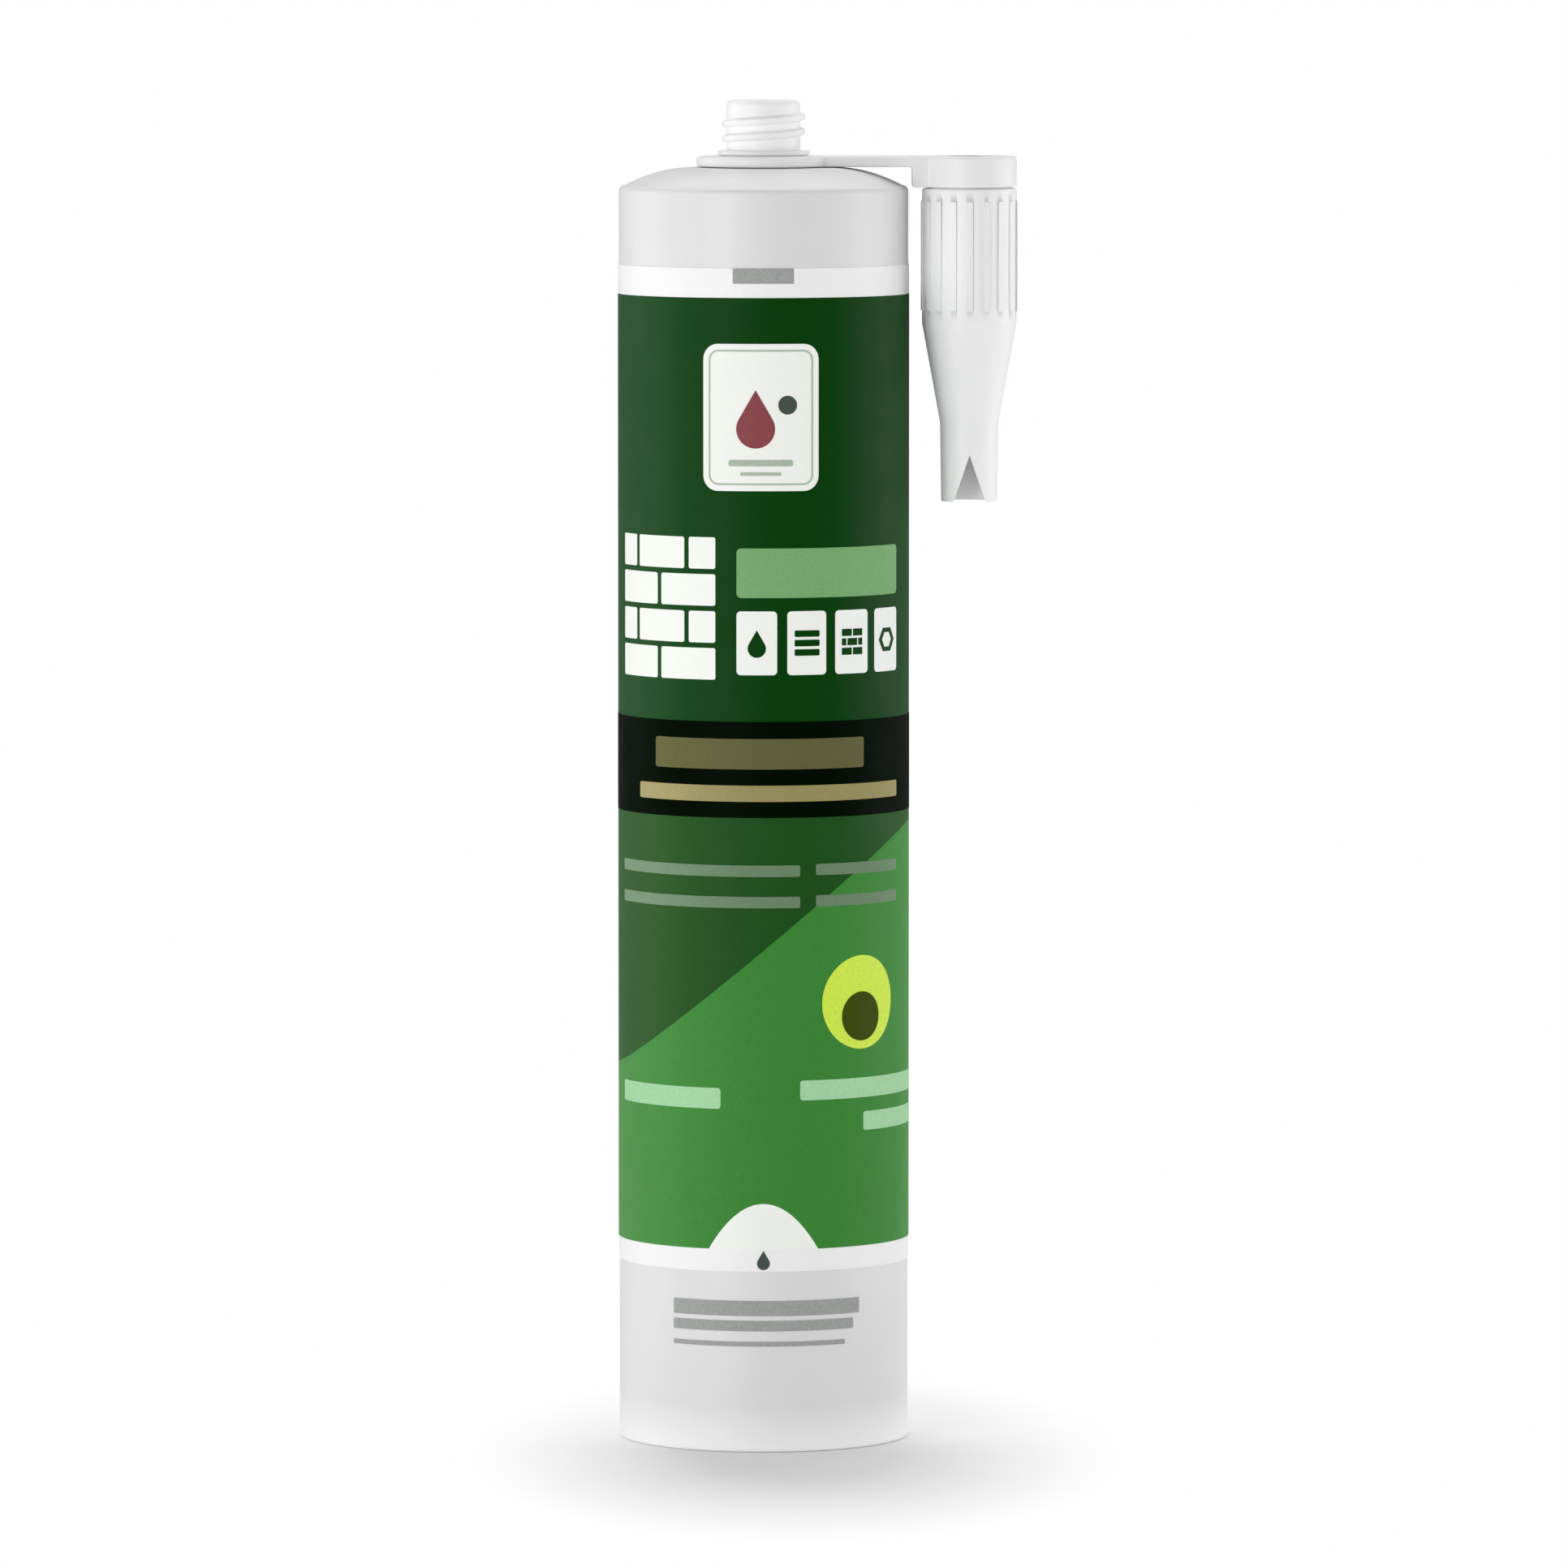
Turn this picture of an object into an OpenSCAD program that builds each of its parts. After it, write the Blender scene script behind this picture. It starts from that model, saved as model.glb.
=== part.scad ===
// Construction adhesive cartridge, standing on its open rear end.
// All sizes are in millimetres. The origin is on the barrel's axis at the rear edge, +Z points up
// to the neck, the printed front faces -Y and the spare nozzle hangs on the +X side.

/* [Barrel] */
// Outside diameter of the barrel
barrel_od = 49.5; // [44:0.5:60]
// Thickness of the barrel's wall
barrel_wall = 1.5; // [1:0.1:2.5]
// Height of the barrel, from its rear edge to the rim of the shoulder
barrel_h = 215; // [180:1:260]
// Rounding of the rear edge, outside
foot_round = 0.6; // [0.3:0.1:0.8]
// Depth of the slightly wider socket at the rear
socket_depth = 9; // [6:0.5:12]
// How much wider the rear socket is than the bore, on the radius
socket_step = 0.25; // [0.1:0.05:0.5]

/* [Shoulder and neck] */
// Rise of the domed shoulder, from its rim to the flat land round the neck
dome_rise = 3; // [1.5:0.25:6]
// Thickness of the shoulder
shoulder_wall = 2; // [1.2:0.1:3]
// Rounding of the shoulder's rim
rim_round = 1.1; // [0.4:0.1:1.2]
// Radius of the plain collar at the foot of the neck
collar_r = 7.5; // [7:0.1:9]
// How far the stop bead above the collar stands out from it
bead_out = 0.4; // [0.2:0.1:0.8]
// Height of the stop bead
bead_h = 0.8; // [0.6:0.1:1.5]
// Height of the neck above the stop bead
neck_h = 8.6; // [7:0.2:12]
// Radius of the neck under the thread
core_r = 6.3; // [5.8:0.1:6.6]
// Radius at the crest of the thread
crest_r = 7.1; // [6.9:0.05:7.2]
// Rise of the thread in one turn
thread_pitch = 2.5; // [2:0.1:3]
// Number of turns of the thread
thread_turns = 2.5; // [1.5:0.25:2.5]
// Radius of the passage inside the neck
passage_r = 4.8; // [4:0.1:5]
// Thickness of the closed end of the neck, which is cut off before use
tip_wall = 1; // [0.6:0.1:1.5]

/* [Piston] */
// Distance from the barrel's rear edge to the piston's rear rim
piston_recess = 14; // [12:0.5:30]
// Height of the piston's skirt
piston_h = 16; // [14:0.5:24]
// Thickness of the piston's skirt and crown
piston_wall = 1.6; // [1.2:0.1:2.5]
// Running clearance of the piston in the bore, on the radius
piston_gap = 0.06; // [0.03:0.01:0.1]
// Depth of the waist between the two sealing bands
waist_depth = 0.6; // [0.3:0.1:0.8]
// Height of each sealing band
band_h = 4; // [2:0.5:5]
// Number of stiffening ribs inside the piston
piston_ribs = 6; // [3:1:10]
// How far a stiffening rib reaches inwards from the skirt
rib_reach = 4; // [2:0.5:6]

/* [Adhesive] */
// Gap between the adhesive and the piston's crown
fill_gap = 0.3; // [0.2:0.05:0.6]
// Gap between the adhesive and the walls that hold it
fill_clear = 0.05; // [0.02:0.01:0.1]

/* [Nozzle holder] */
// Thickness of the holder's ring and strap
strap_t = 1.8; // [1.2:0.1:2.5]
// Width of the strap
strap_w = 9; // [6:0.5:11]
// Width of the ring round the collar
ring_w = 3.9; // [2.5:0.1:5]
// Running clearance of the ring round the collar, on the radius
ring_gap = 0.08; // [0.05:0.01:0.1]
// Free height of the ring above the land and below the bead
ring_play = 0.12; // [0.1:0.01:0.2]
// Clear space between the barrel and the arm outside its rim
arm_gap = 0.6; // [0.5:0.1:1.5]
// Depth of the arm and of the cap over the nozzle
cap_h = 5.3; // [4.5:0.1:8]
// Length of the plug in the nozzle's mouth
plug_len = 8; // [5:0.5:12]
// Thickness of the plug's wall
plug_wall = 1.3; // [1:0.1:2]
// Running clearance of the plug in the nozzle, on the radius
plug_gap = 0.06; // [0.04:0.01:0.1]

/* [Nozzle] */
// Clear space between the barrel and the hanging nozzle
nozzle_gap = 2.1; // [1.5:0.1:4]
// Radius of the nozzle's skirt
skirt_r = 8.1; // [8:0.1:9]
// Length of the skirt
skirt_len = 23; // [18:0.5:30]
// Length of the cone below the skirt
cone_len = 17; // [10:0.5:30]
// Length of the tube below the cone
tube_len = 13.5; // [11:0.5:40]
// Radius of the tube where it leaves the cone
tube_r = 5; // [4.6:0.1:6]
// Radius of the tube at its tip
tip_r = 4.8; // [4.4:0.1:5]
// Thickness of the tube's wall
nozzle_wall = 0.9; // [0.7:0.1:1.2]
// Clearance between the nozzle's socket and the crest of the neck's thread, on the radius
thread_gap = 0.15; // [0.1:0.05:0.3]
// Depth of the threaded socket inside the skirt
mouth_depth = 19; // [14:0.5:22]
// Width of the notch in the tip
notch_w = 5.5; // [3:0.1:7]
// Height of the notch in the tip
notch_h = 8; // [5:0.5:10]
// Number of grip ribs on the skirt
grip_ribs = 18; // [8:1:24]
// Width of one grip rib
grip_w = 0.9; // [0.6:0.1:1.2]
// How far a grip rib stands out
grip_out = 0.25; // [0.1:0.05:0.5]
// Plain length of the skirt at each end of the ribs
grip_margin = 2; // [1:0.5:5]

/* [Label] */
// Distance from the barrel's rear edge to the label's lower edge
label_from = 31; // [26:0.5:50]
// Distance from the shoulder's rim to the label's upper edge
label_below_rim = 13.5; // [8:0.5:30]
// Height of the white border above the coloured print
border_top = 5; // [2:0.5:10]
// Height of the white border below the coloured print
border_foot = 3.8; // [2:0.2:10]
// Thickness of the label's film
film_t = 0.1; // [0.06:0.01:0.2]
// Thickness of one layer of print
ink_t = 0.05; // [0.04:0.01:0.08]
// Thickness of the glue between the barrel and the film
glue_t = 0.02; // [0.01:0.01:0.05]
// Width of the open seam at the back, in degrees
seam_angle = 0.8; // [0.4:0.1:2]
// Slope of the line between the dark and the light green, in degrees
field_slope = 40; // [20:1:45]

/* [Hidden] */
$fn = 96;
barrel_r = barrel_od / 2;
bore_r = barrel_r - barrel_wall;
socket_r = bore_r + socket_step;
lead_h = 2 * socket_step;
arc_steps = 5;
dome_steps = 9;
rim_turn = 60;
cut_over = 1;

ring_in = collar_r + ring_gap;
ring_out = ring_in + ring_w;
land_r = ring_out + 0.6;
land_z = barrel_h + dome_rise;
ring_z = land_z + ring_play;
bead_z = ring_z + strap_t + ring_play;
neck_z = bead_z + bead_h;
neck_top = neck_z + neck_h;
tip_chamfer = 0.8;
throat_z = land_z - shoulder_wall;
passage_top = neck_top - tip_wall;
inner_rim_z = barrel_h - shoulder_wall;

thread_sides = 24;
thread_foot = 1.9;
thread_land = 0.7;
thread_root = core_r - 0.25;
thread_z = neck_z + (neck_h - tip_chamfer - thread_turns * thread_pitch) / 2;

piston_r = bore_r - piston_gap;
crown_z = piston_recess + piston_h;
piston_in = piston_r - waist_depth - piston_wall;
rib_t = 1.2;
rib_rise = 5;

strap_top = ring_z + strap_t;
cap_z = strap_top - cap_h;
mouth_z = cap_z - 0.2;
nozzle_x = barrel_r + nozzle_gap + skirt_r + grip_out;
mouth_r = crest_r + thread_gap;
plug_r = mouth_r - plug_gap;
plug_lead = 0.6;
skirt_end = mouth_z - skirt_len;
cone_end = skirt_end - cone_len;
tip_z = cone_end - tube_len;
mouth_floor = mouth_z - mouth_depth;
mouth_lip = 0.4;

film_r = barrel_r + glue_t;
field_r = film_r + film_t;
shape_r = field_r + ink_t;
detail_r = shape_r + ink_t;
label_top = barrel_h - label_below_rim;
print_foot = label_from + border_foot;
print_top = label_top - border_top;
print_h = print_top - print_foot;
stamp_angle = 40;
stamp_reach = print_h / 8;
slope_z = print_foot + 0.315 * print_h;
band_low = 0.455;
band_high = 0.556;

// Print places: first and last angle from the front, then lowest and highest share of the print.
badge_place = [-24, 22, 0.798, 0.952];
drop_angle = -3;
drop_share = 0.863;
drop_size = 3.3;
dot_angle = 9.5;
dot_share = 0.888;
dot_size = 1.6;
brick_place = [-72, -18, 0.597, 0.752];
brick_courses = 4;
brick_joint = 0.9;
strip_place = [-10.5, 65, 0.686, 0.738];
tile_place = [-10.5, 65, 0.605, 0.672];
tile_count = 4;
tile_gap_angle = 4;
dull_gold_place = [-47, 43, 0.506, 0.538];
bright_gold_place = [-57, 65, 0.472, 0.489];
line_places = [
    [-72, 14.5, 0.393, 0.405], [21, 65, 0.394, 0.406],
    [-72, 14.5, 0.360, 0.372], [21, 65, 0.361, 0.373]
];
roundel_angle = 42;
roundel_share = 0.258;
roundel_r = 8;
roundel_core_r = 4.2;
roundel_core_drop = 2.4;
pale_places = [[-72, -17, 0.148, 0.170], [14.5, 88, 0.157, 0.178], [43, 88, 0.122, 0.142]];
arch_w = 19;
arch_h = 7.8;
arch_steps = 12;
arch_over = 1.1;
arch_mark_r = 1.1;
arch_mark_z = 32.4;
code_places = [[-38, 41, 23.4, 26], [-38, 38, 20.8, 22.6], [-38, 34, 18.2, 19]];
top_mark_angle = 12;
top_mark_h = 2.6;

// Height of a share of the coloured print.
function up(share) = print_foot + share * print_h;

// Points of a quarter round between two angles.
function arc(x, y, r, from, to) =
    [for (i = [0 : arc_steps]) let (a = from + (to - from) * i / arc_steps) [x + r * cos(a), y + r * sin(a)]];

// Height of a dome that rises from its edge to the flat land round the neck.
function dome_z(r, edge_r, edge_z) =
    edge_z + dome_rise * (1 - pow(max(0, r - land_r) / (edge_r - land_r), 2));

// The dome's line, from its edge inwards to the land.
function dome(edge_r, edge_z) =
    [for (i = [0 : dome_steps])
        let (r = edge_r + (land_r - edge_r) * i / dome_steps) [r, dome_z(r, edge_r, edge_z)]];

function backwards(list) = [for (i = [len(list) - 1 : -1 : 0]) list[i]];

// A stretch of ring, between two angles counted from the front.
module ring_part(r, t, from, to, low, high) {
    rotate([0, 0, from - 90])
        rotate_extrude(angle = to - from)
            translate([r, low]) square([t, high - low]);
}

// A layer that goes all the way round, apart from the seam at the back.
module wrap(r, t, low, high) {
    ring_part(r, t, -180 + seam_angle / 2, 180 - seam_angle / 2, low, high);
}

// A rectangle of print at a listed place.
module patch(r, place) {
    ring_part(r, ink_t, place[0], place[1], up(place[2]), up(place[3]));
}

// A flat shape pressed into one layer of print, with its middle at an angle and a height.
module stamp(r, angle, z) {
    intersection() {
        ring_part(r, ink_t, angle - stamp_angle, angle + stamp_angle, z - stamp_reach, z + stamp_reach);
        rotate([0, 0, angle]) translate([0, 0, z]) rotate([90, 0, 0])
            linear_extrude(r + cut_over) children();
    }
}

// A turn and a part of a ridge that climbs round the neck, as one closed solid.
module thread() {
    rings = thread_turns * thread_sides;
    section = [[thread_root, -thread_foot / 2], [crest_r, -thread_land / 2],
        [crest_r, thread_land / 2], [thread_root, thread_foot / 2]];
    n = len(section);
    points = [for (i = [0 : rings]) for (p = section)
        let (a = 360 * i / thread_sides, fade = min(1, 0.1 + min(i, rings - i) / 4))
        [(thread_root + (p[0] - thread_root) * fade) * cos(a),
         (thread_root + (p[0] - thread_root) * fade) * sin(a),
         thread_z + thread_pitch * i / thread_sides + p[1] * fade]];
    sides = [for (i = [0 : rings - 1]) for (k = [0 : n - 1]) for (half = [0, 1])
        let (a = i * n + k, b = i * n + (k + 1) % n)
        half == 0 ? [a, a + n, b + n] : [a, b + n, b]];
    first = [[0, 1, 2], [0, 2, 3]];
    last = [for (f = first) [f[0] + rings * n, f[2] + rings * n, f[1] + rings * n]];
    polyhedron(points, concat(sides, first, last), convexity = 6);
}

module barrel() {
    outer = concat(
        arc(barrel_r - foot_round, foot_round, foot_round, -90, 0),
        arc(barrel_r - rim_round, barrel_h - rim_round, rim_round, 0, rim_turn),
        dome(barrel_r - rim_round, barrel_h),
        [[collar_r, land_z], [collar_r, bead_z], [collar_r + bead_out, bead_z + bead_out / 2],
         [collar_r + bead_out, neck_z], [core_r, neck_z], [core_r, neck_top - tip_chamfer],
         [core_r - tip_chamfer, neck_top], [0, neck_top]]);
    inner = concat(
        [[0, passage_top], [passage_r, passage_top], [passage_r, throat_z]],
        backwards(dome(bore_r, inner_rim_z)),
        [[bore_r, socket_depth + lead_h], [socket_r, socket_depth], [socket_r, 0]]);
    color("white") union() {
        rotate_extrude() polygon(concat(outer, inner));
        thread();
    }
}

module piston() {
    outer = concat(
        [[piston_r - waist_depth, piston_recess], [piston_r, piston_recess + waist_depth],
         [piston_r, piston_recess + band_h], [piston_r - waist_depth, piston_recess + band_h + waist_depth],
         [piston_r - waist_depth, crown_z - band_h - waist_depth], [piston_r, crown_z - band_h]],
        dome(piston_r, crown_z), [[0, crown_z + dome_rise]]);
    inner = concat(
        [[0, crown_z + dome_rise - piston_wall]],
        backwards(dome(piston_in, crown_z - piston_wall)),
        [[piston_in, piston_recess]]);
    color("whitesmoke") union() {
        rotate_extrude() polygon(concat(outer, inner));
        intersection() {
            for (i = [0 : piston_ribs - 1])
                rotate([0, 0, 360 * (i + 0.5) / piston_ribs])
                    translate([piston_in - rib_reach, -rib_t / 2, piston_recess + rib_rise])
                        cube([rib_reach + piston_wall / 2, rib_t, piston_h + dome_rise]);
            rotate_extrude() polygon(concat([[0, piston_recess]],
                [[piston_r - waist_depth - piston_wall / 2, piston_recess]],
                dome(piston_r - waist_depth - piston_wall / 2, crown_z - piston_wall / 2),
                [[0, crown_z + dome_rise - piston_wall / 2]]));
        }
    }
}

module adhesive() {
    fill_r = bore_r - fill_clear;
    color("tan") rotate_extrude() polygon(concat(
        [[0, crown_z + dome_rise + fill_gap]],
        backwards(dome(fill_r, crown_z + fill_gap)),
        dome(fill_r, inner_rim_z - fill_gap),
        [[passage_r - fill_clear, throat_z - fill_gap],
         [passage_r - fill_clear, passage_top - fill_clear], [0, passage_top - fill_clear]]));
}

module nozzle_holder() {
    arm_x = barrel_r + arm_gap;
    color("gainsboro") difference() {
        union() {
            translate([0, 0, ring_z]) cylinder(r = ring_out, h = strap_t);
            translate([ring_in, -strap_w / 2, ring_z]) cube([nozzle_x - ring_in, strap_w, strap_t]);
            translate([arm_x, -strap_w / 2, cap_z]) cube([nozzle_x - arm_x, strap_w, cap_h]);
            translate([nozzle_x, 0, cap_z]) cylinder(r = skirt_r, h = cap_h);
            translate([nozzle_x, 0, 0]) rotate_extrude() polygon([
                [0, cap_z - plug_len], [plug_r - plug_lead, cap_z - plug_len],
                [plug_r, cap_z - plug_len + 2 * plug_lead], [plug_r, cap_z + cut_over], [0, cap_z + cut_over]]);
        }
        translate([0, 0, ring_z - cut_over]) cylinder(r = ring_in, h = strap_t + 2 * cut_over);
        translate([nozzle_x, 0, cap_z - plug_len - cut_over])
            cylinder(r = plug_r - plug_wall, h = plug_len + cap_h + cut_over - plug_wall);
    }
}

module nozzle() {
    outer = [[mouth_r + mouth_lip, mouth_z], [skirt_r, mouth_z - mouth_lip], [skirt_r, skirt_end],
        [tube_r, cone_end], [tip_r, tip_z]];
    inner = [[tip_r - nozzle_wall, tip_z], [tube_r - nozzle_wall, cone_end],
        [mouth_r - nozzle_wall, mouth_floor - nozzle_wall], [mouth_r - nozzle_wall, mouth_floor],
        [mouth_r, mouth_floor], [mouth_r, mouth_z]];
    color("white") translate([nozzle_x, 0, 0]) difference() {
        union() {
            rotate_extrude() polygon(concat(outer, inner));
            for (i = [0 : grip_ribs - 1])
                rotate([0, 0, 360 * (i + 0.5) / grip_ribs])
                    translate([(mouth_r + skirt_r) / 2, -grip_w / 2, skirt_end + grip_margin])
                        cube([(skirt_r - mouth_r) / 2 + grip_out, grip_w, skirt_len - 2 * grip_margin]);
        }
        rotate([90, 0, 0]) linear_extrude(tube_r + cut_over) polygon([
            [-notch_w / 2, tip_z], [-notch_w / 2, tip_z - cut_over], [notch_w / 2, tip_z - cut_over],
            [notch_w / 2, tip_z], [0, tip_z + notch_h]]);
    }
}

module label_film() {
    color("white") wrap(film_r, film_t, label_from, label_top);
}

// The space above the sloping line, or below it, as a block that spans the barrel.
module slope_block(side) {
    reach = barrel_od;
    rise = reach * tan(field_slope);
    translate([0, reach, 0]) rotate([90, 0, 0]) linear_extrude(2 * reach) polygon([
        [-reach, slope_z - rise], [reach, slope_z + rise],
        [reach, slope_z + side * 2 * print_h], [-reach, slope_z + side * 2 * print_h]]);
}

// The white arch at the foot of the print, a parabola that runs on below the print's lower edge.
module arch_outline() {
    polygon([for (i = [0 : arch_steps])
        let (share = arch_over * (2 * i / arch_steps - 1))
        [arch_w / 2 * share, arch_h * (1 - share * share)]]);
}

// The print on one side of the sloping line, open at the seam.
module sloped_field(side) {
    seam_w = 2 * field_r * tan(seam_angle / 2);
    difference() {
        intersection() {
            translate([0, 0, print_foot]) cylinder(r = field_r + ink_t, h = print_h);
            slope_block(side);
        }
        translate([0, 0, print_foot - cut_over]) cylinder(r = field_r, h = print_h + 2 * cut_over);
        translate([-seam_w / 2, 0, print_foot - cut_over])
            cube([seam_w, barrel_od, print_h + 2 * cut_over]);
    }
}

module dark_field() {
    color("darkgreen") sloped_field(1);
}

module light_field() {
    color("forestgreen") sloped_field(-1);
}

module black_band() {
    color("black") wrap(shape_r, ink_t, up(band_low), up(band_high));
}

module badge_panel() {
    round = 2.6;
    middle = (badge_place[0] + badge_place[1]) / 2;
    w = 2 * barrel_r * sin((badge_place[1] - badge_place[0]) / 2) - 2 * round;
    h = up(badge_place[3]) - up(badge_place[2]) - 2 * round;
    color("ivory") stamp(shape_r, middle, up(badge_place[2]) + round + h / 2) {
        square([w + 2 * round, h], center = true);
        square([w, h + 2 * round], center = true);
        for (x = [-1, 1]) for (y = [-1, 1]) translate([x * w / 2, y * h / 2]) circle(r = round);
    }
}

// A drop, as a circle with a pointed top.
module drop(r) {
    circle(r = r);
    polygon([[r * cos(30), r * sin(30)], [0, 2 * r], [-r * cos(30), r * sin(30)]]);
}

module badge_drop() {
    color("rosybrown") stamp(detail_r, drop_angle, up(drop_share)) drop(drop_size);
}

module badge_dot() {
    color("darkslategray") stamp(detail_r, dot_angle, up(dot_share)) circle(r = dot_size);
}

module brick_mark() {
    low = up(brick_place[2]);
    course = (up(brick_place[3]) - low) / brick_courses;
    joint = brick_joint / barrel_r * 180 / PI;
    brick = (brick_place[1] - brick_place[0]) / 2;
    color("ivory") for (row = [0 : brick_courses - 1]) for (i = [0 : 2]) {
        from = max(brick_place[0], brick_place[0] + (i - (row % 2) / 2) * brick);
        to = min(brick_place[1], brick_place[0] + (i + 1 - (row % 2) / 2) * brick);
        if (to - from > 2 * joint)
            ring_part(shape_r, ink_t, from + joint / 2, to - joint / 2,
                low + row * course + brick_joint / 2, low + (row + 1) * course - brick_joint / 2);
    }
}

module green_strip() {
    color("darkseagreen") patch(shape_r, strip_place);
}

module white_tiles() {
    step = (tile_place[1] - tile_place[0] + tile_gap_angle) / tile_count;
    color("honeydew") for (i = [0 : tile_count - 1])
        ring_part(shape_r, ink_t, tile_place[0] + i * step, tile_place[0] + (i + 1) * step - tile_gap_angle,
            up(tile_place[2]), up(tile_place[3]));
}

module dull_gold_bar() {
    color("darkkhaki") patch(detail_r, dull_gold_place);
}

module bright_gold_bar() {
    color("khaki") patch(detail_r, bright_gold_place);
}

module grey_green_lines() {
    color("darkseagreen") for (place = line_places) patch(shape_r, place);
}

module roundel() {
    color("yellowgreen") stamp(shape_r, roundel_angle, up(roundel_share)) circle(r = roundel_r);
}

module roundel_core() {
    color("darkolivegreen") stamp(detail_r, roundel_angle, up(roundel_share) - roundel_core_drop)
        circle(r = roundel_core_r);
}

module pale_bars() {
    color("palegreen") for (place = pale_places) patch(shape_r, place);
}

module arch_panel() {
    color("white") intersection() {
        ring_part(shape_r, ink_t, -stamp_angle, stamp_angle, print_foot, print_foot + arch_h + cut_over);
        translate([0, 0, print_foot]) rotate([90, 0, 0]) linear_extrude(barrel_od) arch_outline();
    }
}

module arch_mark() {
    color("slategray") stamp(field_r, 0, arch_mark_z) drop(arch_mark_r);
}

module code_bars() {
    color("darkgray") for (place = code_places)
        ring_part(film_r, ink_t, place[0], place[1], place[2], place[3]);
}

module top_mark() {
    color("darkgray") ring_part(field_r, ink_t, -top_mark_angle, top_mark_angle,
        label_top - top_mark_h, label_top);
}

barrel();
piston();
adhesive();
nozzle_holder();
nozzle();
label_film();
dark_field();
light_field();
black_band();
badge_panel();
badge_drop();
badge_dot();
brick_mark();
green_strip();
white_tiles();
dull_gold_bar();
bright_gold_bar();
grey_green_lines();
roundel();
roundel_core();
pale_bars();
arch_panel();
arch_mark();
code_bars();
top_mark();
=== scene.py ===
from math import atan2, cos, floor, pi, radians, sin, tan

import bmesh
import bpy
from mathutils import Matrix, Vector


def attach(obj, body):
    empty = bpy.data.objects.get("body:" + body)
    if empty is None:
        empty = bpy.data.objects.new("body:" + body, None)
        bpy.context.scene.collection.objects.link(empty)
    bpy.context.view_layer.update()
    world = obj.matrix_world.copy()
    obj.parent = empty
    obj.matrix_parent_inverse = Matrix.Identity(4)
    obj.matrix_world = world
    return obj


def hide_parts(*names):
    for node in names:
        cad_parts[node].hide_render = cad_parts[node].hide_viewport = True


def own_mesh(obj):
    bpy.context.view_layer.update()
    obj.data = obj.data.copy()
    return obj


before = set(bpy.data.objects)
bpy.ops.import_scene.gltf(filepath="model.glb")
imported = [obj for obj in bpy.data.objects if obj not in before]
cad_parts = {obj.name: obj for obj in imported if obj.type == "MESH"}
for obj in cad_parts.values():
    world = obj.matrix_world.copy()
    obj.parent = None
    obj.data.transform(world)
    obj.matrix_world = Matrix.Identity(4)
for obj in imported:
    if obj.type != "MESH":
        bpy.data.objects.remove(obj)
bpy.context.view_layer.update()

# Shapes are drawn in millimetres, with Z up the barrel and the printed front towards -Y.
MM = 0.001

# The barrel, with its rear socket, shoulder, collar and closed neck.
BARREL_R = 24.75
BARREL_H = 215
BORE_R = 23.25
SOCKET_R = 23.5
SOCKET_DEPTH = 9
SOCKET_TAPER = 0.5
FOOT_ROUND = 0.6
SOCKET_ROUND = 0.2
OUTER_WALL_Z = 30
INNER_WALL_Z = 203
RIM_ROUND = 1.1
DOME_RISE = 3
INNER_RIM_Z = 213
LAND_R = 12.18
LAND_Z = 218
COLLAR_R = 7.5
BEAD_W = 0.4
BEAD_Z = 220.04
NECK_Z = 220.84
NECK_TOP = 229.44
CORE_R = 6.3
GATE_R = 1.7
GATE_DIP = 0.3
THROAT_Z = 216
PASSAGE_R = 4.8
PASSAGE_TOP = 228.44

# Threads: a ridge's half widths at root and crest, how deep it sinks in, and how it fades out.
THREAD_PITCH = 2.5
THREAD_TURNS = 2.5
THREAD_Z = 221.615
THREAD_CREST = 7.1
RIDGE_ROOT = 0.95
RIDGE_CREST = 0.35
RIDGE_SINK = 0.25
FADE_TURN = 0.16
FADE_START = 0.1

# The fill: its gap to the walls, its core and skin, and what is left of it when it is pressed out.
CROWN_Z = 30
FILL_GAP = 0.3
FILL_R = 23.2
FILL_CORE_R = 22.4
FILL_CORE_END = 215.56
FILL_SKIN_END = 213.3
FILL_STEPS = 120
NECK_FILL_SKIN = 0.25
NECK_FILL_GAP = 0.05

# The holder, from its ring round the collar to the plug that carries the spare nozzle.
RING_IN = 7.58
RING_OUT = 11.48
RING_Z = 218.12
STRAP_T = 1.8
STRAP_W = 9
ARM_X = 25.35
CAP_H = 5.3
CAP_Z = 214.62
CAP_NUDGE = 0.001
PLUG_R = 7.19
PLUG_LEN = 8
PLUG_WALL = 1.3
RECESS_R = 5.2
RECESS_MOUTH_R = 5.6
RECESS_DEPTH = 0.6
CAP_GATE_R = 1.1
CAP_GATE_DEPTH = 0.35
SOFT_VOXEL = 0.25
SOFT_ROUNDS = 5
ROUND_STEPS = 96
PLUG_STEPS = 144

# The spare nozzle, which hangs with its mouth up and its tip down.
NOZZLE_X = 35.2
SKIRT_R = 8.1
MOUTH_R = 7.25
MOUTH_Z = 214.42
MOUTH_FLOOR = 195.42
SKIRT_END = 191.42
CONE_END = 174.42
TIP_Z = 160.92
TUBE_R = 5
TIP_R = 4.8
NOZZLE_WALL = 0.9
GRIP_RIBS = 18
RIB_STEPS = 12
RIB_H = 0.25
GRIP_MARGIN = 2
INNER_THREAD_Z = MOUTH_FLOOR + 1.6
INNER_THREAD_TURNS = 2.75
INNER_THREAD_H = 0.4
INNER_THREAD_SINK = 0.2
NOTCH_W = 5.5
NOTCH_H = 8

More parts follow.
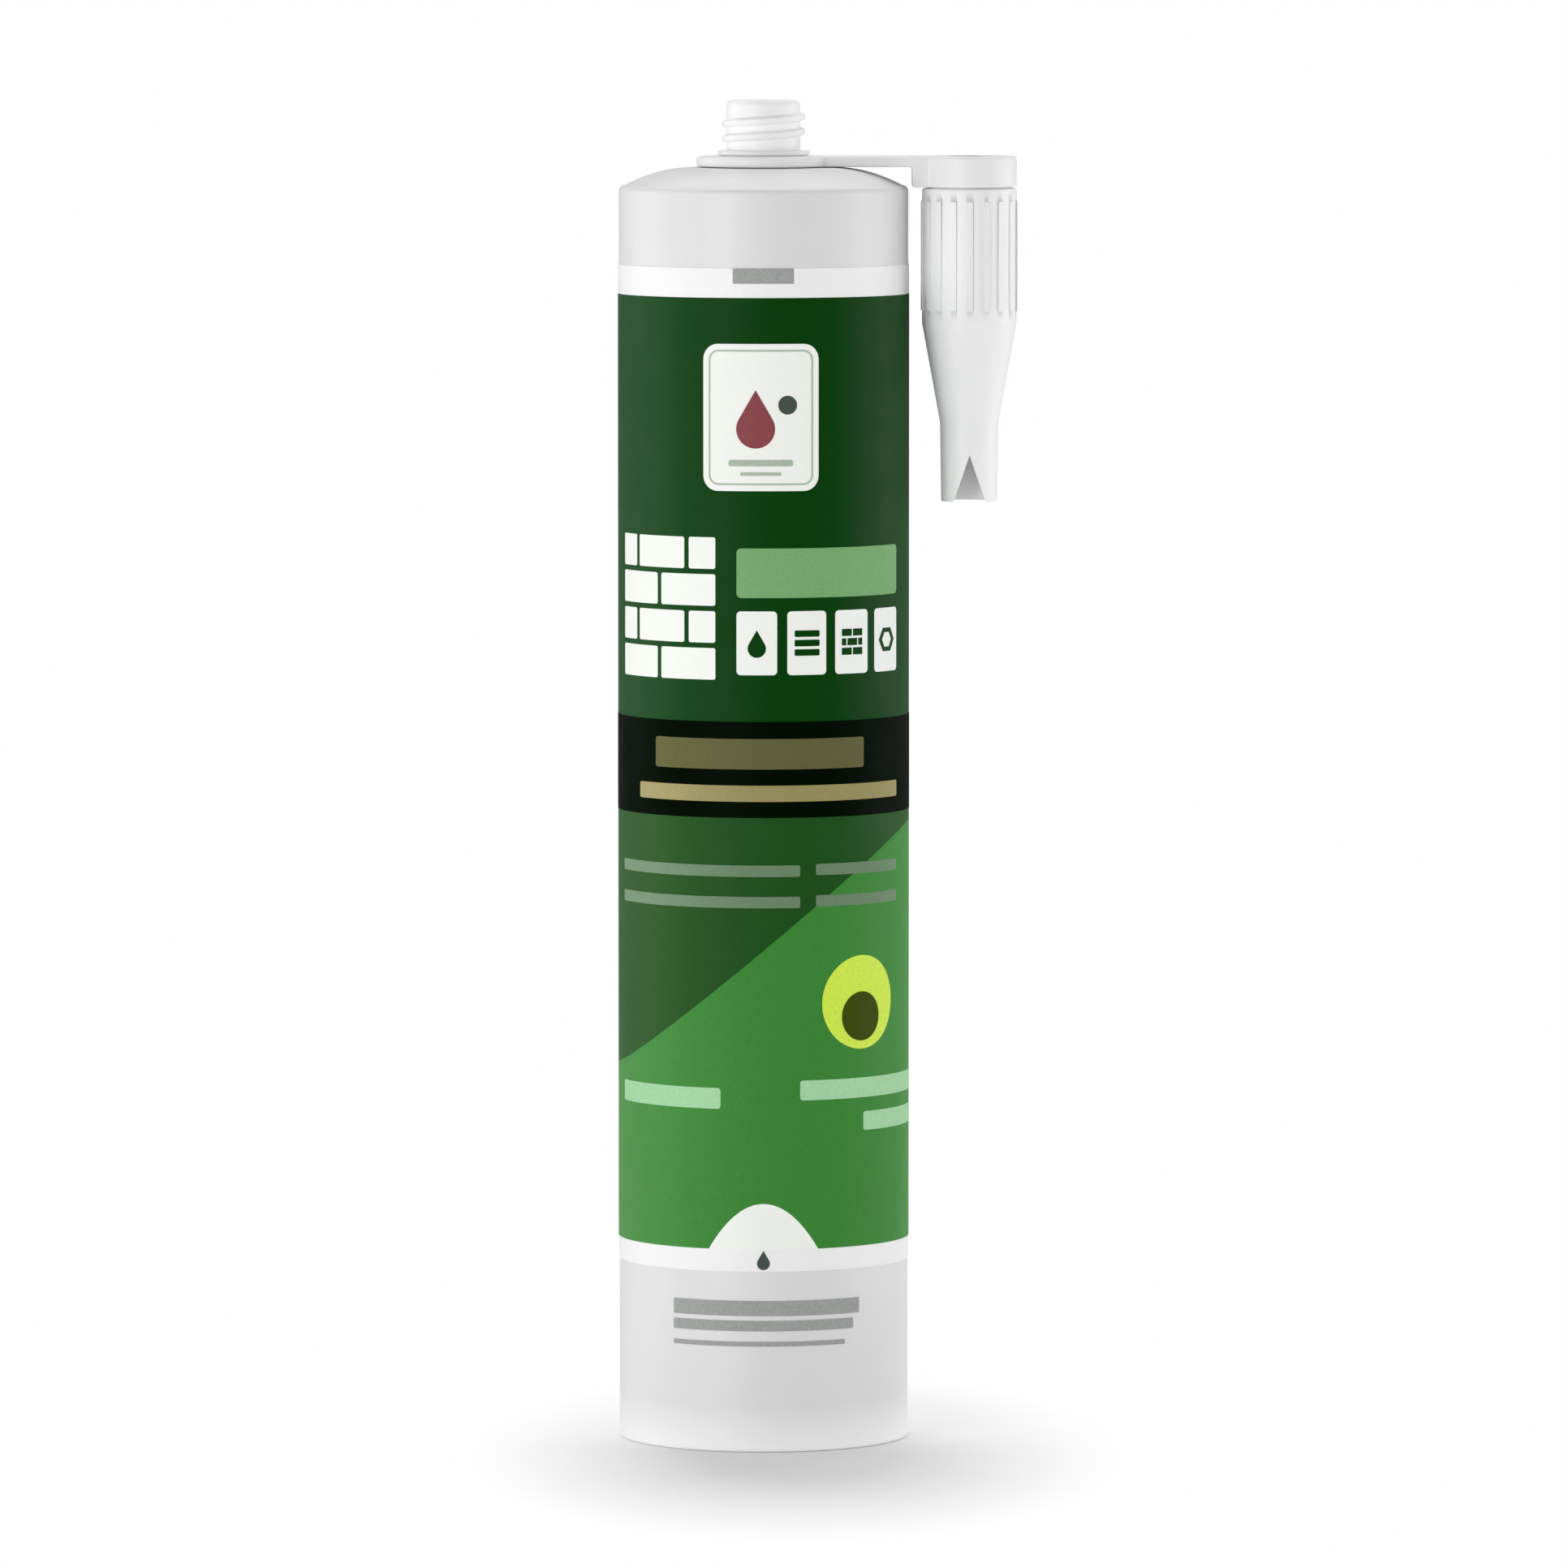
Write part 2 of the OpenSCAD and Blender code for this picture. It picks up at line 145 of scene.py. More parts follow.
# The label: the film, the colour fields on it, the shapes on those, and their details.
FILM_R = 24.77
FILM_T = 0.1
FIELD_R = 24.87
SHAPE_R = 24.92
DETAIL_R = 24.97
INK_T = 0.05
LABEL_FOOT = 31
LABEL_TOP = 201.5
SEAM_ANGLE = 0.8
PRINT_FOOT = 34.8
PRINT_H = 161.7
SLOPE_Z = PRINT_FOOT + 0.315 * PRINT_H
FIELD_SLOPE = radians(40)

# A line of print meets the next layer down on the same whole degrees, so that no layer pokes through.
STEP = radians(1)
TURN_STEPS = 360

# Points nearer than this are one point: in a solid, and in a flat layer of print.
SOLID_MERGE = 0.0005
PRINT_MERGE = 0.00001


def up(share):
    """Height of a share of the coloured print."""
    return PRINT_FOOT + share * PRINT_H


def along(angle):
    """Distance round the label from the middle of its front, for an angle in degrees."""
    return radians(angle) * SHAPE_R


# Outlines


def filleted(corners, steps=5):
    """An open line of points whose corners are rounded where a third number gives a radius."""
    line = []
    for i, corner in enumerate(corners):
        here = Vector(corner[:2])
        if len(corner) < 3 or i in (0, len(corners) - 1):
            line.append(here)
            continue
        before = (Vector(corners[i - 1][:2]) - here).normalized()
        after = (Vector(corners[i + 1][:2]) - here).normalized()
        half = before.angle(after) / 2
        centre = here + (before + after).normalized() * corner[2] / sin(half)
        start = here + before * corner[2] / tan(half) - centre
        end = here + after * corner[2] / tan(half) - centre
        first = atan2(start.y, start.x)
        turn = (atan2(end.y, end.x) - first + pi) % (2 * pi) - pi
        for k in range(steps + 1):
            angle = first + turn * k / steps
            line.append(centre + Vector((cos(angle), sin(angle))) * corner[2])
    return line


def box_outline(left, right, low, high, round_r=0.0, steps=6):
    """Corners of a rectangle on the developed label, rounded if a radius is given."""
    if not round_r:
        return [(left, low), (right, low), (right, high), (left, high)]
    middles = [
        (right - round_r, low + round_r, -90),
        (right - round_r, high - round_r, 0),
        (left + round_r, high - round_r, 90),
        (left + round_r, low + round_r, 180),
    ]
    outline = []
    for x, z, start in middles:
        for k in range(steps + 1):
            turn = radians(start + 90 * k / steps)
            outline.append((x + round_r * cos(turn), z + round_r * sin(turn)))
    return outline


def place_outline(place, round_r=0.0):
    """Outline of a listed place: first and last angle, then lowest and highest share of the print."""
    return box_outline(along(place[0]), along(place[1]), up(place[2]), up(place[3]), round_r)


def disc_outline(s, z, radius, sides=48):
    """A circle, or a shape with a few equal sides."""
    turns = [2 * pi * k / sides for k in range(sides)]
    return [(s + radius * cos(a), z + radius * sin(a)) for a in turns]


def drop_outline(s, z, radius, sides=36):
    """A drop: a circle whose top runs out in a point at twice the radius."""
    first, last = radians(-210), radians(30)
    round_part = [first + (last - first) * k / sides for k in range(sides + 1)]
    return [(s + radius * cos(a), z + radius * sin(a)) for a in round_part] + [(s, z + 2 * radius)]


def brick_outlines(place, courses=4, joint=0.9):
    """Bricks in running bond, as wide as half the mark."""
    left, right, low, high = along(place[0]), along(place[1]), up(place[2]), up(place[3])
    course = (high - low) / courses
    brick = (right - left) / 2
    outlines = []
    for row in range(courses):
        for i in range(3):
            start = max(left, left + (i - row % 2 / 2) * brick)
            end = min(right, left + (i + 1 - row % 2 / 2) * brick)
            if end - start > 2 * joint:
                outlines.append(box_outline(
                    start + joint / 2, end - joint / 2, low + row * course + joint / 2,
                    low + (row + 1) * course - joint / 2, 0.35, 3,
                ))
    return outlines


# Solids


def turned(line, centre_x=0.0, steps=TURN_STEPS, closed=False):
    """A solid of revolution round an upright axis, from a line of (radius, height) points."""
    bm = bmesh.new()
    verts = [bm.verts.new((r, 0, z)) for r, z in line]
    edges = [bm.edges.new(pair) for pair in zip(verts, verts[1:])]
    if closed:
        edges.append(bm.edges.new((verts[-1], verts[0])))
    bmesh.ops.spin(
        bm, geom=verts + edges, cent=(0, 0, 0), axis=(0, 0, 1), dvec=(0, 0, 0),
        angle=2 * pi, steps=steps, use_merge=True,
    )
    bmesh.ops.remove_doubles(bm, verts=bm.verts, dist=SOLID_MERGE)
    bmesh.ops.recalc_face_normals(bm, faces=bm.faces)
    bmesh.ops.translate(bm, vec=(centre_x, 0, 0), verts=bm.verts)
    return bm


def thread_ridge(root_r, crest_r, foot_z, turns, centre_x=0.0, per_turn=72):
    """A trapezoid ridge that climbs round an upright axis and fades out at both ends."""
    bm = bmesh.new()
    section = [
        (root_r, -RIDGE_ROOT), (crest_r, -RIDGE_CREST), (crest_r, RIDGE_CREST), (root_r, RIDGE_ROOT),
    ]
    verts = [bm.verts.new((r, 0, z)) for r, z in section]
    edges = [bm.edges.new((verts[i], verts[(i + 1) % 4])) for i in range(4)]
    bmesh.ops.spin(
        bm, geom=verts + edges, cent=(0, 0, 0), axis=(0, 0, 1), angle=2 * pi * turns,
        dvec=(0, 0, THREAD_PITCH / per_turn), steps=int(turns * per_turn), use_merge=False,
    )
    bmesh.ops.holes_fill(bm, edges=[e for e in bm.edges if e.is_boundary], sides=4)
    for vert in bm.verts:
        share = (atan2(vert.co.y, vert.co.x) / (2 * pi)) % 1
        share += round(vert.co.z / THREAD_PITCH - share)
        fade = min(1, FADE_START + min(share, turns - share) / FADE_TURN)
        radius = vert.co.xy.length
        vert.co.xy *= (root_r + (radius - root_r) * fade) / radius
        vert.co.z = share * THREAD_PITCH + (vert.co.z - share * THREAD_PITCH) * fade
    bmesh.ops.recalc_face_normals(bm, faces=bm.faces)
    bmesh.ops.translate(bm, vec=(centre_x, 0, foot_z), verts=bm.verts)
    return bm


def new_verts(grown):
    """The points among what an extrusion made."""
    return [v for v in grown["geom"] if isinstance(v, bmesh.types.BMVert)]


def prism(outline, near, far, axis="Z"):
    """A flat outline drawn out into a bar, upwards or along Y."""
    bm = bmesh.new()
    upright = axis == "Z"
    verts = [bm.verts.new((a, b, near) if upright else (a, near, b)) for a, b in outline]
    grown = bmesh.ops.extrude_face_region(bm, geom=[bm.faces.new(verts)])
    step = (0, 0, far - near) if upright else (0, far - near, 0)
    bmesh.ops.translate(bm, vec=step, verts=new_verts(grown))
    bmesh.ops.recalc_face_normals(bm, faces=bm.faces)
    return bm


def loose_object(bm):
    """An object for a shape that modifiers still work on."""
    mesh = bpy.data.meshes.new("loose")
    bm.to_mesh(mesh)
    bm.free()
    loose = bpy.data.objects.new("loose", mesh)
    bpy.context.collection.objects.link(loose)
    return loose


def shape_of(loose):
    """The finished shape of a loose object, which is then taken out of the scene."""
    bm = bmesh.new()
    bm.from_object(loose, bpy.context.evaluated_depsgraph_get())
    bpy.data.meshes.remove(loose.data)
    return bm


def combined(first, second, operation):
    """One closed solid out of two, by UNION or DIFFERENCE."""
    body, tool = loose_object(first), loose_object(second)
    step = body.modifiers.new("combined", "BOOLEAN")
    step.object = tool
    step.operation = operation
    step.solver = "EXACT"
    bm = shape_of(body)
    bpy.data.meshes.remove(tool.data)
    bmesh.ops.remove_doubles(bm, verts=bm.verts, dist=SOLID_MERGE)
    return bm


def moulded(bm):
    """Runs the edges and joins of a solid together softly, as in an injection moulding."""
    loose = loose_object(bm)
    remesh = loose.modifiers.new("moulded", "REMESH")
    remesh.mode = "VOXEL"
    remesh.voxel_size = SOFT_VOXEL
    smooth = loose.modifiers.new("softened", "SMOOTH")
    smooth.factor = 0.5
    smooth.iterations = SOFT_ROUNDS
    return shape_of(loose)


def cut_through(bm, point, normal, **more):
    """Cuts a flat or rolled layer of print along a plane."""
    everything = bm.verts[:] + bm.edges[:] + bm.faces[:]
    bmesh.ops.bisect_plane(
        bm, geom=everything, dist=PRINT_MERGE, plane_co=point, plane_no=normal, **more,
    )


def printed(outlines, radius, thickness=INK_T, frame_w=0.0, cut=None):
    """A layer of print on the barrel, from flat outlines of (distance round, height) points."""
    bm = bmesh.new()
    for outline in outlines:
        face = bm.faces.new([bm.verts.new((s, 0, z)) for s, z in outline])
        if frame_w:
            face.normal_update()
            bmesh.ops.inset_region(
                bm, faces=[face], thickness=frame_w, use_boundary=True, use_even_offset=True,
            )
            bmesh.ops.delete(bm, geom=[face], context="FACES_ONLY")
    reach = [v.co.x for v in bm.verts]
    pitch = STEP * SHAPE_R
    for k in range(floor(min(reach) / pitch) + 1, floor(max(reach) / pitch) + 1):
        cut_through(bm, (k * pitch, 0, 0), (1, 0, 0))
    for vert in bm.verts:
        angle = vert.co.x / SHAPE_R
        vert.co.x, vert.co.y = radius * sin(angle), -radius * cos(angle)
    if cut:
        cut_through(bm, (0, 0, SLOPE_Z), cut, clear_outer=True)
    for vert in new_verts(bmesh.ops.extrude_face_region(bm, geom=bm.faces[:])):
        vert.co.xy *= (radius + thickness) / radius
    bmesh.ops.recalc_face_normals(bm, faces=bm.faces)
    return bm


def finished(bm, name, material, body="barrel", stands_for=(), crease=35):
    """Puts a shape into the frame in metres, as a piece that rides on a body."""
    bmesh.ops.scale(bm, vec=(MM, MM, MM), verts=bm.verts)
    mesh = bpy.data.meshes.new(name)
    bm.to_mesh(mesh)
    bm.free()
    mesh.shade_smooth()
    mesh.set_sharp_from_angle(angle=radians(crease))
    mesh.materials.append(material)
    piece = bpy.data.objects.new(name, mesh)
    bpy.context.collection.objects.link(piece)
    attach(piece, body)
    if stands_for:
        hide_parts(*stands_for)
    return piece


# Materials. The scale of a pattern is in repeats per metre, and the depth of its bumps in metres.

CLOUDS = 45
SATIN = 420
SKIN = 2600
SKIN_STRENGTH = 0.12
SKIN_DEPTH = 0.00006
INK_GRAIN = 2600
HANDLING = 160
ORANGE_PEEL = 900
PEEL_STRENGTH = 0.05
PEEL_DEPTH = 0.00004
SWIRLS = 90
LUMPS = 300
LUMP_STRENGTH = 0.3
LUMP_DEPTH = 0.0004

# Roughness of the smoothest and the roughest spots.
PLASTIC_ROUGHNESS = (0.38, 0.5)
FILM_ROUGHNESS = (0.44, 0.54)
PASTE_ROUGHNESS = (0.35, 0.6)

# Painted highlight: the plastic is paler between these heights, in metres: towards the foot and up the
# collar.
PAINTED_FOOT_HIGHLIGHT = (0.008, 0.001)
PAINTED_NECK_HIGHLIGHT = (LAND_Z * MM, (LAND_Z + 3) * MM)
# Below the black band the dark green is lighter; it changes between these heights, in metres.
BELOW_BAND = (0.1085, 0.124)
# The painted shade on the inks is deepest at this angle, to the right of the front's middle.
PAINTED_SHADE_ANGLE = radians(17)
# How far the front and the back lie from the barrel's axis, in metres, for the inks.
ROUND_REACH = 0.025
# Where the painted light and shade of the sides, between and the front stand, from the back at 0 to the front
# at 1.
ROUND_STOPS = (0.3, 0.72, 0.97)


def node(tree, kind, settings=(), **inputs):
    """A node of a material, with its settings and the values of its sockets."""
    made = tree.nodes.new(kind)
    for key, value in dict(settings).items():
        setattr(made, key, value)
    for key, value in inputs.items():
        made.inputs[key.replace("_", " ")].default_value = value
    return made


def noise(tree, place, scale, detail, stretch=None):
    """Fine irregular pattern in object coordinates."""
    if stretch:
        mapping = node(tree, "ShaderNodeMapping", Scale=stretch)
        tree.links.new(place, mapping.inputs["Vector"])
        place = mapping.outputs["Vector"]
    made = node(tree, "ShaderNodeTexNoise", Scale=scale, Detail=detail)
    tree.links.new(place, made.inputs["Vector"])
    return made.outputs["Fac"]


def height_of(tree, place):
    """Height on the object, from its coordinates."""
    parts = node(tree, "ShaderNodeSeparateXYZ")
    tree.links.new(place, parts.inputs["Vector"])
    return parts.outputs["Z"]


def ramp(tree, factor, positions, colours):
    """Colours along a factor, each at its position."""
    made = node(tree, "ShaderNodeValToRGB")
    made.color_ramp.interpolation = "EASE"
    while len(made.color_ramp.elements) < len(positions):
        made.color_ramp.elements.new(0.5)
    for element, position, colour in zip(made.color_ramp.elements, positions, colours):
        element.position = position
        element.color = (*colour, 1)
    tree.links.new(factor, made.inputs["Fac"])
    return made.outputs["Color"]


def mix(tree, factor, first, second):
    """Mixes two colours by a factor; either of them may be a plain colour."""
    made = node(tree, "ShaderNodeMix", {"data_type": "RGBA"})
    for socket, value in ((made.inputs[0], factor), (made.inputs[6], first), (made.inputs[7], second)):
        if isinstance(value, bpy.types.NodeSocket):
            tree.links.new(value, socket)
        else:
            socket.default_value = (*value, 1)
    return made.outputs[2]


def spread(tree, factor, low, high, from_low=0.3, from_high=0.7):
    """Maps the middle of a factor's range on another range."""
    made = node(tree, "ShaderNodeMapRange")
    ends = (("From Min", from_low), ("From Max", from_high), ("To Min", low), ("To Max", high))
    for name, value in ends:
        made.inputs[name].default_value = value
    tree.links.new(factor, made.inputs["Value"])
    return made.outputs["Result"]


def bumped(tree, shader, height, strength, distance):
    """Raises the surface by a pattern."""
    made = node(tree, "ShaderNodeBump", Strength=strength, Distance=distance)
    tree.links.new(height, made.inputs["Height"])
    tree.links.new(made.outputs["Normal"], shader.inputs["Normal"])


def new_material(name):
    """A material with its tree, its shader and the object coordinates."""
    material = bpy.data.materials.new(name)
    material.use_nodes = True
    tree = material.node_tree
    shader = tree.nodes["Principled BSDF"]
    place = node(tree, "ShaderNodeTexCoord").outputs["Object"]
    return material, tree, shader, place


def moulded_plastic(name, colour, tint, streaks=None, depth=0.0015, painted_highlight=None):
    """Milky polyethylene with faint clouds, uneven satin and a fine skin, and a paler colour painted as a
    highlight towards the foot and up the collar.
    """
    material, tree, shader, place = new_material(name)
    clouds = noise(tree, place, CLOUDS, detail=2.0)
    shade = mix(tree, spread(tree, clouds, 0, 1), colour, tint)
    if painted_highlight:
        height = height_of(tree, place)
        for low, high in (PAINTED_FOOT_HIGHLIGHT, PAINTED_NECK_HIGHLIGHT):
            shade = mix(tree, spread(tree, height, 0, 1, low, high), shade, painted_highlight)
    tree.links.new(shade, shader.inputs["Base Color"])
    satin = noise(tree, place, SATIN, detail=4.0, stretch=streaks)
    tree.links.new(spread(tree, satin, *PLASTIC_ROUGHNESS), shader.inputs["Roughness"])
    bumped(tree, shader, noise(tree, place, SKIN, detail=3.0), SKIN_STRENGTH, SKIN_DEPTH)
    shader.inputs["IOR"].default_value = 1.5
    shader.inputs["Specular IOR Level"].default_value = 0.4
    shader.inputs["Subsurface Weight"].default_value = 0.15
    shader.inputs["Subsurface Radius"].default_value = (1.0, 0.95, 0.85)
    shader.inputs["Subsurface Scale"].default_value = depth
    return material


def painted_light_angle(tree, place):
    """0 at the back of the barrel and 1 where the painted shade on the inks is deepest."""
    dot = node(tree, "ShaderNodeVectorMath", {"operation": "DOT_PRODUCT"})
    tree.links.new(place, dot.inputs[0])
    dot.inputs[1].default_value = (sin(PAINTED_SHADE_ANGLE), -cos(PAINTED_SHADE_ANGLE), 0)
    return spread(tree, dot.outputs["Value"], 0, 1, -ROUND_REACH, ROUND_REACH)


def film_print(name, sides, front, lower=None, mottle=0.12, gloss=0.08):
    """Ink on a satin film, with painted light and shade that change from the barrel's sides to its front;
    lower gives its colours below the black band.
    """
    material, tree, shader, place = new_material(name)
    painted_light_share = painted_light_angle(tree, place)
    between = tuple(0.6 * a + 0.4 * b for a, b in zip(sides, front))
    shade = ramp(tree, painted_light_share, ROUND_STOPS, (sides, between, front))
    if lower:
        below = spread(tree, height_of(tree, place), 1, 0, *BELOW_BAND)
        shade = mix(tree, below, shade, ramp(tree, painted_light_share, ROUND_STOPS, lower))
    ink_grain = noise(tree, place, INK_GRAIN, detail=3.0)
    shade = mix(tree, spread(tree, ink_grain, 0, mottle), shade, (0, 0, 0))
    tree.links.new(shade, shader.inputs["Base Color"])
    handling = noise(tree, place, HANDLING, detail=5.0)
    tree.links.new(spread(tree, handling, *FILM_ROUGHNESS), shader.inputs["Roughness"])
    orange_peel = noise(tree, place, ORANGE_PEEL, detail=2.0)
    bumped(tree, shader, orange_peel, PEEL_STRENGTH, PEEL_DEPTH)
    shader.inputs["Specular IOR Level"].default_value = gloss
    return material


def paste(name):
    """Thick beige adhesive, with slow swirls and a soft gloss."""
    material, tree, shader, place = new_material(name)
    swirl = noise(tree, place, SWIRLS, detail=5.0, stretch=(1, 1, 0.4))
    shade = ramp(tree, swirl, (0.3, 0.7), ((0.5, 0.44, 0.33), (0.64, 0.58, 0.46)))
    tree.links.new(shade, shader.inputs["Base Color"])
    tree.links.new(spread(tree, swirl, *PASTE_ROUGHNESS), shader.inputs["Roughness"])
    bumped(tree, shader, noise(tree, place, LUMPS, detail=4.0), LUMP_STRENGTH, LUMP_DEPTH)
    shader.inputs["Subsurface Weight"].default_value = 0.15
    shader.inputs["Subsurface Scale"].default_value = 0.002
    return material


# Camera and light, in metres

AIM = Vector((0.0035, 0, 0.1123))
CAMERA_DISTANCE = 2.08
CAMERA_RISE = radians(4.3)
CAMERA_LENS = 278.4

# Each softbox: name, angle from the front, distance, height, size and strength.
SOFTBOXES = (
    ("front_softbox", -30, 0.75, 0.12, (0.35, 0.6), 0.7),
    ("left_softbox", -104, 0.75, 0.18, (0.35, 0.6), 0.29),
    ("right_softbox", 97, 1.0, 0.1, (0.8, 1.0), 0.92),
    ("back_softbox", 180, 0.5, 1.0, (0.9, 0.7), 0.54),
)
SKY_FILL = 0.32
FLOOR_SIZE = 12
FLOOR_GREY = 0.8
FLOOR_SEEN_GREY = 0.84
# The oval round the foot in which the floor shows its shadow, and how it passes into plain white.
SHADOW_CENTRE = (-0.1, 0.227, 0)
SHADOW_SCALE = (18.2, 9.1, 1)
SHADOW_FADE = (0.3, 1.0)


def studio_camera():
    """The camera at the photograph's viewing angle."""
    camera = bpy.data.objects.new("camera", bpy.data.cameras.new("camera"))
    camera.data.sensor_width = 36
    camera.data.lens = CAMERA_LENS
    camera.data.clip_start = 0.05
    camera.data.clip_end = 50
    camera.location = AIM + CAMERA_DISTANCE * Vector((0, -cos(CAMERA_RISE), sin(CAMERA_RISE)))
    camera.rotation_euler = (radians(90) - CAMERA_RISE, 0, 0)
    bpy.context.collection.objects.link(camera)
    bpy.context.scene.camera = camera
    bpy.context.scene.view_settings.view_transform = "Standard"


def softbox(name, azimuth, distance, height, size, strength):
    """A soft lamp that faces the cartridge; strength 1 lights a white card there fully."""
    lamp = bpy.data.lights.new(name, "AREA")
    lamp.shape = "RECTANGLE"
    lamp.size, lamp.size_y = size
    lamp.energy = strength * pi * pi * (distance ** 2 + (height - AIM.z) ** 2)
    stand = bpy.data.objects.new(name, lamp)
    turn = radians(azimuth)
    stand.location = (distance * sin(turn), -distance * cos(turn), height)
    stand.rotation_euler = (AIM - stand.location).to_track_quat("-Z", "Y").to_euler()
    bpy.context.collection.objects.link(stand)


def studio_sky():
    """Soft light from all round, and plain white where the camera sees past the floor."""
    world = bpy.data.worlds.new("studio")
    world.use_nodes = True
    bpy.context.scene.world = world
    sky = world.node_tree
    sky.nodes.clear()
    rays = node(sky, "ShaderNodeLightPath")
    fill = node(sky, "ShaderNodeBackground", Color=(1, 1, 1, 1), Strength=SKY_FILL)
    white = node(sky, "ShaderNodeBackground", Color=(1, 1, 1, 1), Strength=1.0)
    either = node(sky, "ShaderNodeMixShader")
    sky_out = node(sky, "ShaderNodeOutputWorld")
    sky.links.new(rays.outputs["Is Camera Ray"], either.inputs["Fac"])
    sky.links.new(fill.outputs["Background"], either.inputs[1])
    sky.links.new(white.outputs["Background"], either.inputs[2])
    sky.links.new(either.outputs["Shader"], sky_out.inputs["Surface"])


def studio_floor():
    """A wide white floor that keeps the soft shadow near the foot and is plain white beyond it."""
    bm = bmesh.new()
    bmesh.ops.create_grid(bm, x_segments=1, y_segments=1, size=FLOOR_SIZE)
    mesh = bpy.data.meshes.new("floor")
    bm.to_mesh(mesh)
    bm.free()
    floor_piece = bpy.data.objects.new("floor", mesh)
    bpy.context.collection.objects.link(floor_piece)
    material = bpy.data.materials.new("white_floor")
    material.use_nodes = True
    tree = material.node_tree
    tree.nodes.clear()
    greys = [(grey, grey, grey, 1) for grey in (FLOOR_GREY, FLOOR_SEEN_GREY)]
    matt, seen = (node(tree, "ShaderNodeBsdfDiffuse", Color=grey) for grey in greys)
    plain = node(tree, "ShaderNodeEmission", Color=(1, 1, 1, 1), Strength=1.0)
    near = node(tree, "ShaderNodeMixShader")
    total = node(tree, "ShaderNodeMixShader")
    path = node(tree, "ShaderNodeLightPath")
    output = node(tree, "ShaderNodeOutputMaterial")
    around = node(tree, "ShaderNodeMapping", Location=SHADOW_CENTRE, Scale=SHADOW_SCALE)
    reach = node(tree, "ShaderNodeVectorMath", {"operation": "LENGTH"})
    tree.links.new(node(tree, "ShaderNodeTexCoord").outputs["Object"], around.inputs["Vector"])
    tree.links.new(around.outputs["Vector"], reach.inputs[0])
    tree.links.new(spread(tree, reach.outputs["Value"], 0, 1, *SHADOW_FADE), near.inputs["Fac"])
    tree.links.new(seen.outputs["BSDF"], near.inputs[1])
    tree.links.new(plain.outputs["Emission"], near.inputs[2])
    tree.links.new(path.outputs["Is Camera Ray"], total.inputs["Fac"])
    tree.links.new(matt.outputs["BSDF"], total.inputs[1])
    tree.links.new(near.outputs["Shader"], total.inputs[2])
    tree.links.new(total.outputs["Shader"], output.inputs["Surface"])
    mesh.materials.append(material)


# Barrel and fill


def dome_line(edge_r, edge_z, steps=24):
    """The shoulder's dome from the land round the neck out to its edge."""
    line = []
    for k in range(steps + 1):
        share = k / steps
        line.append((LAND_R + (edge_r - LAND_R) * share, edge_z + DOME_RISE * (1 - share * share)))
    return line


def make_barrel(plastic):
    """One moulding: neck with its thread and closed tip, collar, shoulder, tube and rear socket."""
    neck = filleted([
        (0, NECK_TOP - GATE_DIP), (GATE_R, NECK_TOP - GATE_DIP, 0.15),
        (GATE_R + GATE_DIP, NECK_TOP, 0.1), (CORE_R, NECK_TOP, 0.8), (CORE_R, NECK_Z, 0.25),
        (COLLAR_R + BEAD_W, NECK_Z, 0.2), (COLLAR_R + BEAD_W, BEAD_Z + BEAD_W / 2, 0.1),
        (COLLAR_R, BEAD_Z), (COLLAR_R, LAND_Z),
    ])
    rim = []
    for angle in (60, 50, 40, 30, 20, 10, 0):
        turn = radians(angle)
        rim.append((
            BARREL_R - RIM_ROUND + RIM_ROUND * cos(turn), BARREL_H - RIM_ROUND + RIM_ROUND * sin(turn),
        ))
    foot = filleted([
        (BARREL_R, OUTER_WALL_Z), (BARREL_R, 0, FOOT_ROUND), (SOCKET_R, 0, SOCKET_ROUND),
        (SOCKET_R, SOCKET_DEPTH), (BORE_R, SOCKET_DEPTH + SOCKET_TAPER), (BORE_R, INNER_WALL_Z),
    ])
    inside = dome_line(BORE_R, INNER_RIM_Z)[::-1]
    throat = [(PASSAGE_R, THROAT_Z), (PASSAGE_R, PASSAGE_TOP), (0, PASSAGE_TOP)]
    outer = dome_line(BARREL_R - RIM_ROUND, BARREL_H)
    shell = turned([*neck, *outer, *rim, *foot, *inside, *throat])
    ridge = thread_ridge(CORE_R - RIDGE_SINK, THREAD_CREST, THREAD_Z, THREAD_TURNS)
    shell = combined(shell, ridge, "UNION")
    finished(shell, "barrel_shell", plastic, stands_for=["barrel"], crease=40)


def make_fill(material):
    """The adhesive: a core and a skin, and what stays in the neck."""
    crown = dome_line(FILL_R, CROWN_Z + FILL_GAP)
    top = dome_line(FILL_R, INNER_RIM_Z - 2 * FILL_GAP)
    columns = (
        ("adhesive_core", 0, FILL_CORE_R, FILL_CORE_END),
        ("adhesive_skin", FILL_CORE_R, FILL_R, FILL_SKIN_END),
    )
    for name, inner_r, outer_r, end_z in columns:
        below = [(max(inner_r, min(r, outer_r)), z) for r, z in crown if r > inner_r - 0.5]
        above = [(max(inner_r, min(r, outer_r)), z) for r, z in top if r > inner_r - 0.5]
        line = below + above[::-1]
        if not inner_r:
            line = [(0, below[0][1]), *line, (0, above[0][1])]
        column = turned(line, steps=FILL_STEPS, closed=bool(inner_r))
        piece = finished(column, name, material, stands_for=["adhesive"], crease=30)
        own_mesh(piece)
    disc_low, disc_high = THROAT_Z - NECK_FILL_SKIN, THROAT_Z - NECK_FILL_GAP
    stem_r, stem_top = PASSAGE_R - NECK_FILL_GAP, PASSAGE_TOP - NECK_FILL_GAP
    neck_fill = turned([
        (0, disc_low), (LAND_R, disc_low), (LAND_R, disc_high), (stem_r, disc_high),
        (stem_r, stem_top), (0, stem_top),
    ], steps=FILL_STEPS)
    finished(neck_fill, "adhesive_neck", material, stands_for=["adhesive"], crease=30)


# Holder and nozzle


